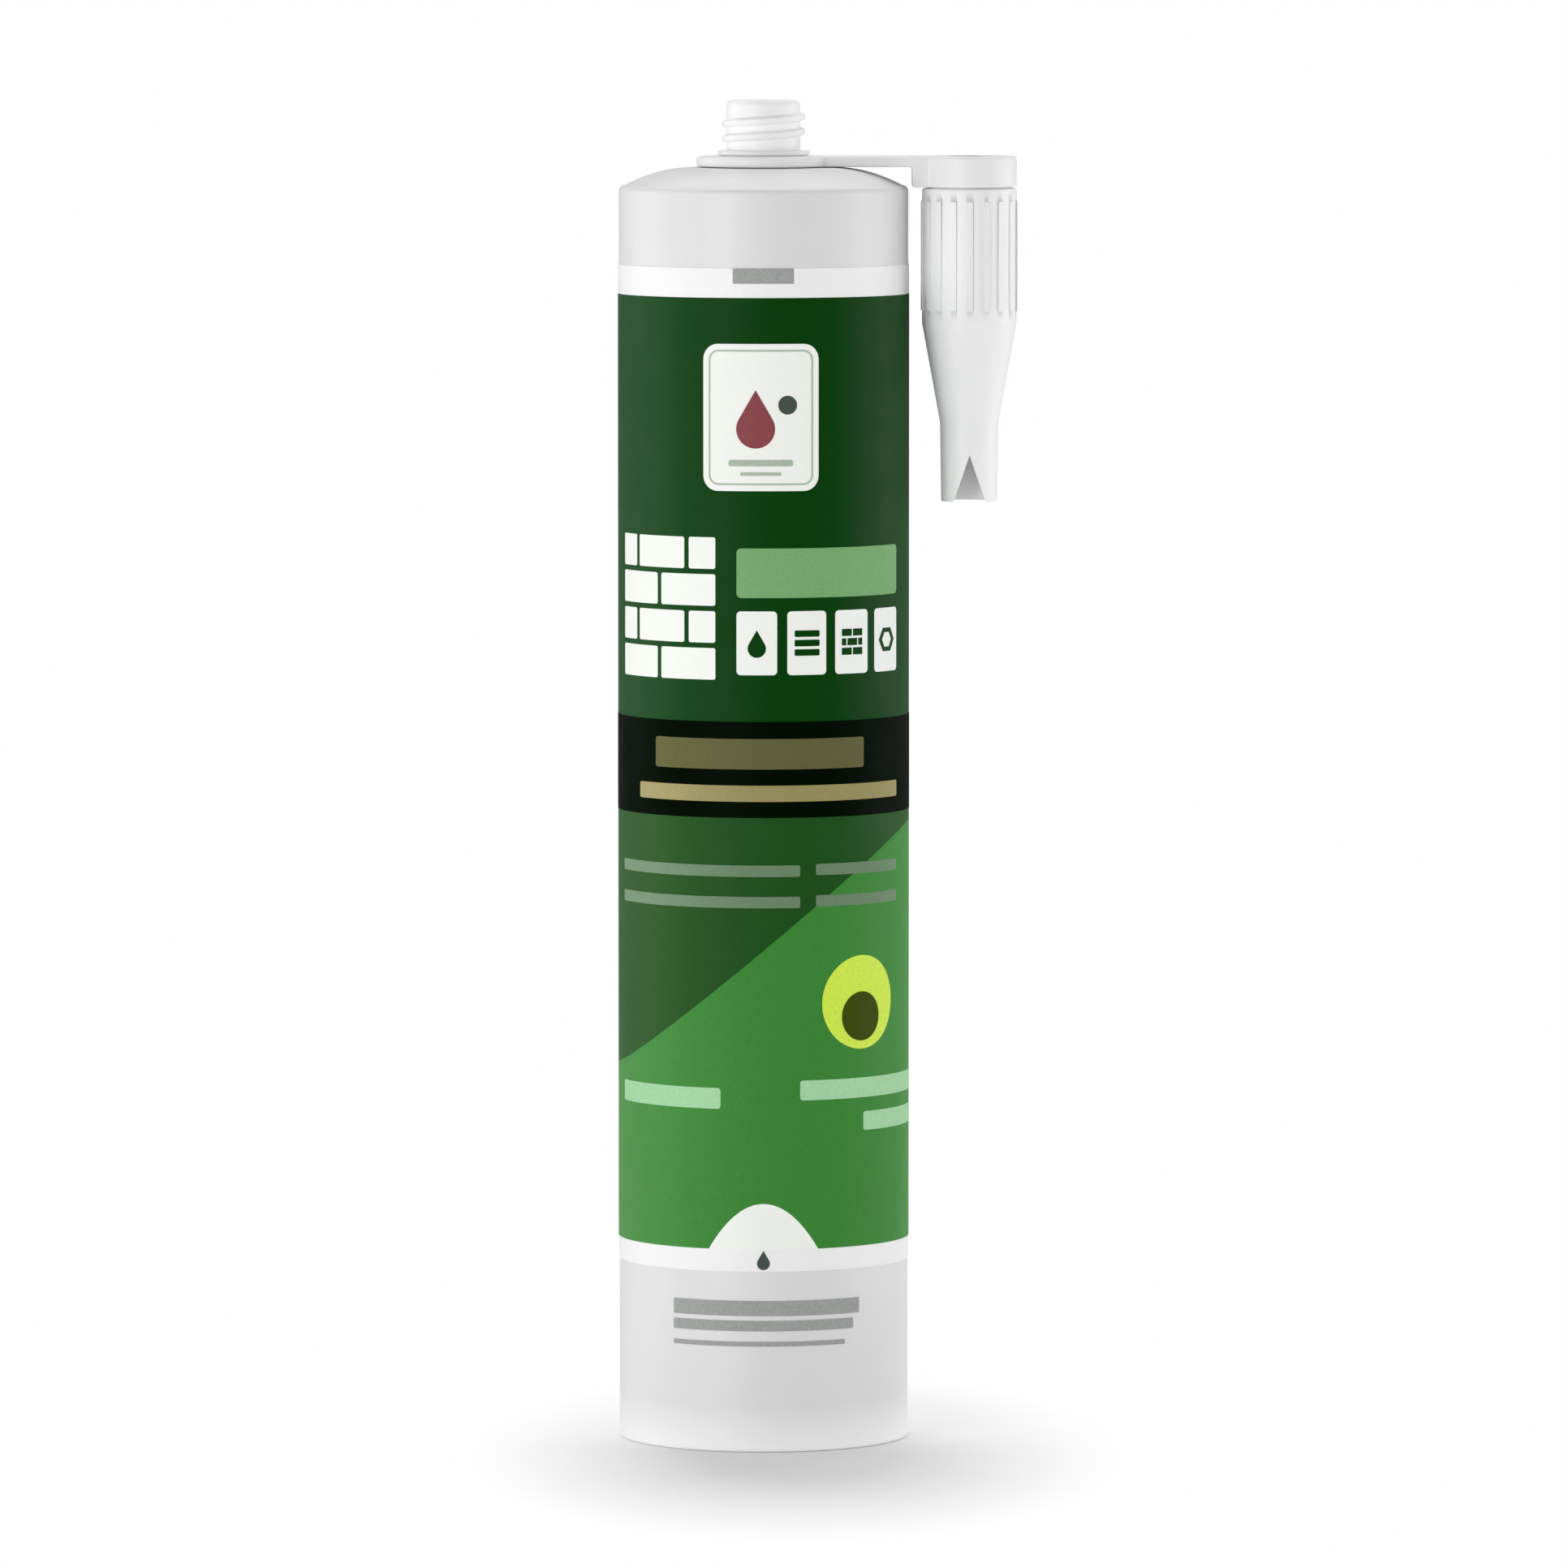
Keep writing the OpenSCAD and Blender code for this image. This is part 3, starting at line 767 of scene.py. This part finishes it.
def make_holder(plastic):
    """One moulding: ring round the collar, strap, arm, and the cap with its hollow plug."""
    ring_top, cap_top, plug_end = RING_Z + STRAP_T, CAP_Z + CAP_H, CAP_Z - PLUG_LEN
    body = turned(filleted([
        (RING_IN - 1, RING_Z), (RING_OUT, RING_Z, 0.3), (RING_OUT, ring_top, 0.5), (RING_IN - 1, ring_top),
    ]), steps=ROUND_STEPS, closed=True)
    half = STRAP_W / 2
    strap, arm = (
        prism([(start, -half), (NOZZLE_X, -half), (NOZZLE_X, half), (start, half)], low, high)
        for start, low, high in ((RING_IN + 0.5, RING_Z, ring_top), (ARM_X, CAP_Z, cap_top))
    )
    cap_low, cap_high = CAP_Z - CAP_NUDGE, cap_top - CAP_NUDGE
    cap = turned(
        [(0, cap_low), (SKIRT_R, cap_low), (SKIRT_R, cap_high), (0, cap_high)], NOZZLE_X, ROUND_STEPS,
    )
    for part in (strap, arm, cap):
        body = combined(body, part, "UNION")
    body = moulded(body)
    bore = turned([(0, RING_Z - 1), (RING_IN, RING_Z - 1), (RING_IN, ring_top + 1), (0, ring_top + 1)])
    body = combined(body, bore, "DIFFERENCE")
    plug = turned(filleted([
        (0, CAP_Z + 1), (PLUG_R, CAP_Z + 1), (PLUG_R, plug_end, 0.8), (0, plug_end),
    ]), NOZZLE_X, PLUG_STEPS)
    body = combined(body, plug, "UNION")
    hollow = turned(filleted([
        (0, plug_end - 1), (PLUG_R - PLUG_WALL, plug_end - 1),
        (PLUG_R - PLUG_WALL, cap_top - PLUG_WALL, 0.5), (0, cap_top - PLUG_WALL),
    ]), NOZZLE_X, PLUG_STEPS)
    body = combined(body, hollow, "DIFFERENCE")
    recess = turned(filleted([
        (0, cap_top - CAP_GATE_DEPTH), (CAP_GATE_R, cap_top - CAP_GATE_DEPTH, 0.1),
        (CAP_GATE_R, cap_top - RECESS_DEPTH, 0.1), (RECESS_R, cap_top - RECESS_DEPTH, 0.3),
        (RECESS_MOUTH_R, cap_top + 1), (0, cap_top + 1),
    ]), NOZZLE_X, ROUND_STEPS)
    body = combined(body, recess, "DIFFERENCE")
    finished(
        body, "nozzle_holder_moulding", plastic, "holder", ["nozzle_holder"], crease=50,
    )


def raise_grip_ribs(bm, low, high):
    """Draws the ribs of the grip out of the skirt's faces, with sloping ends."""
    ribs = []
    for face in bm.faces:
        middle = face.calc_center_median()
        turn = (atan2(middle.y, middle.x) / (2 * pi)) % 1 * GRIP_RIBS % 1
        if low < middle.z < high and middle.xy.length > SKIRT_R - 0.1 and 1 / 3 < turn < 2 / 3:
            ribs.append(face)
    for vert in new_verts(bmesh.ops.extrude_face_region(bm, geom=ribs)):
        vert.co.xy *= (SKIRT_R + RIB_H) / SKIRT_R
        vert.co.z += RIB_H if vert.co.z < (low + high) / 2 else -RIB_H
    bmesh.ops.recalc_face_normals(bm, faces=bm.faces)


def make_nozzle(plastic):
    """One moulding: ribbed skirt with its inner thread, cone, tube and notched tip."""
    low, high = SKIRT_END + GRIP_MARGIN, MOUTH_Z - GRIP_MARGIN
    bm = turned(filleted([
        (MOUTH_R, MOUTH_FLOOR), (MOUTH_R, MOUTH_Z, 0.25), (SKIRT_R, MOUTH_Z, 0.4), (SKIRT_R, high),
        (SKIRT_R, low), (SKIRT_R, SKIRT_END, 1.2), (TUBE_R, CONE_END, 6), (TIP_R, TIP_Z, 0.15),
        (TIP_R - NOZZLE_WALL, TIP_Z, 0.15), (TUBE_R - NOZZLE_WALL, CONE_END, 5),
        (MOUTH_R - NOZZLE_WALL, MOUTH_FLOOR - NOZZLE_WALL, 1), (MOUTH_R - NOZZLE_WALL, MOUTH_FLOOR, 0.1),
        (MOUTH_R, MOUTH_FLOOR),
    ]), steps=RIB_STEPS * GRIP_RIBS)
    raise_grip_ribs(bm, low, high)
    bmesh.ops.translate(bm, vec=(NOZZLE_X, 0, 0), verts=bm.verts)
    root_r, crest_r = MOUTH_R + INNER_THREAD_SINK, MOUTH_R - INNER_THREAD_H
    ridge = thread_ridge(root_r, crest_r, INNER_THREAD_Z, INNER_THREAD_TURNS, NOZZLE_X)
    bm = combined(bm, ridge, "UNION")
    half = NOTCH_W / 2
    wedge = prism([
        (NOZZLE_X - half, TIP_Z), (NOZZLE_X - half, TIP_Z - 1), (NOZZLE_X + half, TIP_Z - 1),
        (NOZZLE_X + half, TIP_Z), (NOZZLE_X, TIP_Z + NOTCH_H),
    ], 0, -TUBE_R - 1, "Y")
    bm = combined(bm, wedge, "DIFFERENCE")
    finished(bm, "spare_nozzle_moulding", plastic, "spare_nozzle", ["nozzle"])


# Label. A place gives its first and last angle, then its lowest and highest share of the print.

BAND = (0.455, 0.556)
BADGE = (-24, 22, 0.798, 0.952)
BRICKS = (-72, -18, 0.597, 0.752)
STRIP = (-10.5, 65, 0.686, 0.738)
TILE_STEP = 19.875
TILE_ANGLE = 15.875
TILE_STARTS = [-10.5 + i * TILE_STEP for i in range(4)]
TILES = [(start, start + TILE_ANGLE, 0.605, 0.672) for start in TILE_STARTS]
DULL_BAR = (-47, 43, 0.506, 0.538)
BRIGHT_BAR = (-57, 65, 0.472, 0.489)
GREY_GREEN_LINES = (
    (-72, 14.5, 0.393, 0.405), (21, 65, 0.394, 0.406), (-72, 14.5, 0.360, 0.372), (21, 65, 0.361, 0.373),
)
PALE_BARS = ((-72, -17, 0.148, 0.170), (14.5, 88, 0.157, 0.178), (43, 88, 0.122, 0.142))
ROUNDEL_ANGLE = 42
ROUNDEL_Z = up(0.258)
ROUNDEL_R = 8
ROUNDEL_CORE_R = 4.2
ROUNDEL_CORE_Z = ROUNDEL_Z - 2.4
ARCH_W = 19
ARCH_H = 7.8
TOP_MARK_ANGLE = 12
TOP_MARK_H = 2.6
# A drop or a dot: the middle of its round part and its radius.
BADGE_DROP = (along(-3), up(0.863), 3.3)
BADGE_DOT = (along(9.5), up(0.888), 1.6)
ARCH_DROP = (0, 32.4, 1.1)
# The bars of grey code below the label: first and last angle, then lowest and highest height.
CODE_BARS = ((-38, 41, 23.4, 26), (-38, 38, 20.8, 22.6), (-38, 34, 18.2, 19))

BADGE_INSET = 1
KEYLINE_W = 0.3
KEYLINE_ROUND = 1.7
# The rules in the badge: half width, lower and upper edge above its inset foot, and rounding.
BADGE_RULES = ((5.5, 3.2, 4.3, 0.4), (3.5, 1.6, 2.2, 0.25))

# The pictures on the tiles: a drop, and rows of bars and bricks, from the tile's middle.
TILE_DROP_R = 1.55
TILE_DROP_SINK = 0.9
TILE_ROWS = (-1.6, 0, 1.6)
TILE_BAR_W = 2.2
TILE_BAR_H = 0.55
BRICK_JOINTS = ((-2.3, 0, 2.3), (-2.3, -1.15, 1.15, 2.3), (-2.3, 0, 2.3))
BRICK_GAP = 0.15
BRICK_H = 0.6
HEXAGON_R = 2.3
HEXAGON_W = 0.75

# The back of the label: panels with lines on them, of which each fourth is short, and bars below.
BACK_PANELS = ((108, 170, 0.6, 0.93), (-170, -108, 0.6, 0.93))
BACK_LINES = 11
LINE_START = 113
SHORT_LINE_START = 135
LINE_END = 165
TOP_LINE = (0.895, 0.903)
LINE_STEP = 0.026
BAR_ENDS = (108, 170)
BAR_FEET = (0.36, 0.3, 0.24)
BAR_SHARE = 0.02


def layer(name, outlines, radius, material, slot, extra=False, **more):
    """A layer of print as a piece. It stands for the CAD node of its own name, unless it is extra."""
    shape = printed(outlines, radius, **more)
    finished(shape, name + "_print", material, stands_for=[] if extra else [name])


def label_fields(film, dark, light, black):
    """The film and the fields of colour that run right round it, to its open seam at the back."""
    half_seam = SEAM_ANGLE / 2
    all_round = (along(-180 + half_seam), along(180 - half_seam))
    whole_film = [box_outline(*all_round, LABEL_FOOT, LABEL_TOP)]
    layer("label_film", whole_film, FILM_R, film, "white_film", thickness=FILM_T)
    slope = Vector((-sin(FIELD_SLOPE), 0, cos(FIELD_SLOPE)))
    field = [box_outline(*all_round, PRINT_FOOT, PRINT_FOOT + PRINT_H)]
    layer("dark_field", field, FIELD_R, dark, "dark_green_ink", cut=-slope)
    layer("light_field", field, FIELD_R, light, "light_green_ink", cut=slope)
    band = [box_outline(*all_round, up(BAND[0]), up(BAND[1]))]
    layer("black_band", band, SHAPE_R, black, "black_ink")


def badge_lines(ink):
    """A keyline inside the badge's edge, and two rules below its drop."""
    left, right = along(BADGE[0]) + BADGE_INSET, along(BADGE[1]) - BADGE_INSET
    low, high = up(BADGE[2]) + BADGE_INSET, up(BADGE[3]) - BADGE_INSET
    edge = [box_outline(left, right, low, high, KEYLINE_ROUND)]
    layer("badge_keyline", edge, DETAIL_R, ink, "grey_green_ink", True, frame_w=KEYLINE_W)
    middle = (left + right) / 2
    rules = [
        box_outline(middle - half, middle + half, low + lower, low + upper, round_r)
        for half, lower, upper, round_r in BADGE_RULES
    ]
    layer("badge_rules", rules, DETAIL_R, ink, "grey_green_ink", True)


def tile_pictures(ink):
    """A plain picture on each tile: a drop, three bars, bricks and a hexagon."""
    s = [(along(place[0]) + along(place[1])) / 2 for place in TILES]
    z = (up(TILES[0][2]) + up(TILES[0][3])) / 2
    marks = [drop_outline(s[0], z - TILE_DROP_SINK, TILE_DROP_R)]
    for row in TILE_ROWS:
        left, right = s[1] - TILE_BAR_W, s[1] + TILE_BAR_W
        marks.append(box_outline(left, right, z + row - TILE_BAR_H, z + row + TILE_BAR_H, 0.2))
    for row, joints in zip(TILE_ROWS, BRICK_JOINTS):
        for a, b in zip(joints, joints[1:]):
            left, right = s[2] + a + BRICK_GAP, s[2] + b - BRICK_GAP
            marks.append(box_outline(left, right, z + row - BRICK_H, z + row + BRICK_H))
    layer("tile_marks", marks, DETAIL_R, ink, "dark_green_ink", True)
    hexagon = [disc_outline(s[3], z, HEXAGON_R, 6)]
    layer("tile_hexagon", hexagon, DETAIL_R, ink, "dark_green_ink", True, frame_w=HEXAGON_W)


def back_print(panel_ink, line_ink, bar_ink):
    """The back of the label: two panels of lines, and bars at either side of the seam."""
    panels = [place_outline(place, 1.5) for place in BACK_PANELS]
    layer("back_panels", panels, SHAPE_R, panel_ink, "white_ink", True)
    lines, bars = [], []
    for side in (-1, 1):
        for row in range(BACK_LINES):
            start = LINE_START if row % 4 else SHORT_LINE_START
            ends = sorted((side * start, side * LINE_END))
            low, high = TOP_LINE[0] - LINE_STEP * row, TOP_LINE[1] - LINE_STEP * row
            lines.append(place_outline((*ends, low, high)))
        ends = sorted(side * end for end in BAR_ENDS)
        bars += [place_outline((*ends, foot, foot + BAR_SHARE)) for foot in BAR_FEET]
    layer("back_lines", lines, DETAIL_R, line_ink, "slate_ink", True)
    layer("back_bars", bars, SHAPE_R, bar_ink, "pale_green_ink", True)


studio_camera()
for lamp_values in SOFTBOXES:
    softbox(*lamp_values)
studio_sky()
studio_floor()

# The last colour is a painted highlight towards the foot and up the collar.
make_barrel(moulded_plastic(
    "milky_barrel", (0.78, 0.78, 0.775), (0.75, 0.755, 0.755), streaks=(1, 1, 0.04), painted_highlight=(0.94, 0.94, 0.935),
))
make_fill(paste("beige_adhesive"))
make_holder(moulded_plastic("moulded_holder", (0.89, 0.89, 0.885), (0.88, 0.885, 0.885), depth=0.0006))
make_nozzle(moulded_plastic("moulded_nozzle", (0.93, 0.93, 0.935), (0.92, 0.925, 0.93), depth=0.0006))
piston_plastic = moulded_plastic("moulded_piston", (0.76, 0.76, 0.74), (0.72, 0.72, 0.71))
for piston_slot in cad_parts["piston"].material_slots:
    piston_slot.material = piston_plastic

# Each ink: its colour at the barrel's sides, then at its front; the change between them is painted sheen at
# the sides and painted shade at the front, and a painted highlight where the front is lighter.
film = film_print("white_film", (0.92, 0.925, 0.92), (0.93, 0.935, 0.93), mottle=0.03, gloss=0.3)
dark = film_print(
    "dark_green_ink", (0.022, 0.09, 0.028), (0.001, 0.05, 0.002),
    lower=((0.036, 0.118, 0.035), (0.034, 0.112, 0.026), (0.014, 0.085, 0.012)), gloss=0.06,
)
light = film_print("light_green_ink", (0.085, 0.315, 0.075), (0.048, 0.26, 0.04))
black = film_print("black_ink", (0.001, 0.005, 0.001), (0.0005, 0.004, 0.0005), gloss=0.015)
# The white ink's lighter front is a painted highlight.
white_ink = film_print("white_ink", (0.87, 0.91, 0.85), (0.95, 0.97, 0.92), mottle=0.03)
red = film_print("red_ink", (0.3, 0.08, 0.09), (0.28, 0.07, 0.08))
slate = film_print("slate_ink", (0.08, 0.1, 0.085), (0.07, 0.09, 0.08))
strip_green = film_print("strip_green_ink", (0.24, 0.47, 0.2), (0.21, 0.44, 0.18))
pale_green = film_print("pale_green_ink", (0.37, 0.68, 0.37), (0.42, 0.74, 0.42))
dull_gold = film_print("dull_gold_ink", (0.16, 0.16, 0.055), (0.13, 0.13, 0.05))
gold = film_print("gold_ink", (0.47, 0.42, 0.19), (0.34, 0.3, 0.12))
grey_green = film_print("grey_green_ink", (0.22, 0.36, 0.22), (0.16, 0.26, 0.15))
yellow_green = film_print("yellow_green_ink", (0.74, 0.95, 0.11), (0.7, 0.92, 0.09))
olive = film_print("olive_ink", (0.06, 0.085, 0.001), (0.05, 0.075, 0.001), gloss=0.04)
grey = film_print("grey_ink", (0.42, 0.43, 0.42), (0.4, 0.41, 0.4), mottle=0.2)
fine_line = film_print("fine_line_ink", (0.45, 0.55, 0.43), (0.45, 0.55, 0.43))

label_fields(film, dark, light, black)
layer("badge_panel", [place_outline(BADGE, 2.6)], SHAPE_R, white_ink, "white_ink")
layer("badge_drop", [drop_outline(*BADGE_DROP)], DETAIL_R, red, "red_ink")
layer("badge_dot", [disc_outline(*BADGE_DOT)], DETAIL_R, slate, "slate_ink")
layer("brick_mark", brick_outlines(BRICKS), SHAPE_R, white_ink, "white_ink")
layer("green_strip", [place_outline(STRIP, 0.8)], SHAPE_R, strip_green, "pale_green_ink")
layer("white_tiles", [place_outline(p, 0.7) for p in TILES], SHAPE_R, white_ink, "white_ink")
layer("dull_gold_bar", [place_outline(DULL_BAR, 0.5)], DETAIL_R, dull_gold, "dull_gold_ink")
layer("bright_gold_bar", [place_outline(BRIGHT_BAR, 0.4)], DETAIL_R, gold, "gold_ink")
thin_lines = [place_outline(p, 0.3) for p in GREY_GREEN_LINES]
layer("grey_green_lines", thin_lines, SHAPE_R, grey_green, "grey_green_ink")
roundel = [disc_outline(along(ROUNDEL_ANGLE), ROUNDEL_Z, ROUNDEL_R, 72)]
layer("roundel", roundel, SHAPE_R, yellow_green, "yellow_green_ink")
core = [disc_outline(along(ROUNDEL_ANGLE), ROUNDEL_CORE_Z, ROUNDEL_CORE_R)]
layer("roundel_core", core, DETAIL_R, olive, "olive_ink")
layer("pale_bars", [place_outline(p, 0.5) for p in PALE_BARS], SHAPE_R, pale_green, "pale_green_ink")
across = [1 - k / 20 for k in range(41)]
arch = [(ARCH_W / 2 * share, PRINT_FOOT + ARCH_H * (1 - share * share)) for share in across]
layer("arch_panel", [arch], SHAPE_R, white_ink, "white_ink")
layer("arch_mark", [drop_outline(*ARCH_DROP)], FIELD_R, slate, "slate_ink")
codes = [box_outline(along(a), along(b), low, high, 0.2) for a, b, low, high in CODE_BARS]
layer("code_bars", codes, FILM_R, grey, "grey_ink")
mark_half = along(TOP_MARK_ANGLE)
top_mark = [box_outline(-mark_half, mark_half, LABEL_TOP - TOP_MARK_H, LABEL_TOP)]
layer("top_mark", top_mark, FIELD_R, grey, "grey_ink")
badge_lines(fine_line)
tile_pictures(dark)
back_print(white_ink, slate, pale_green)
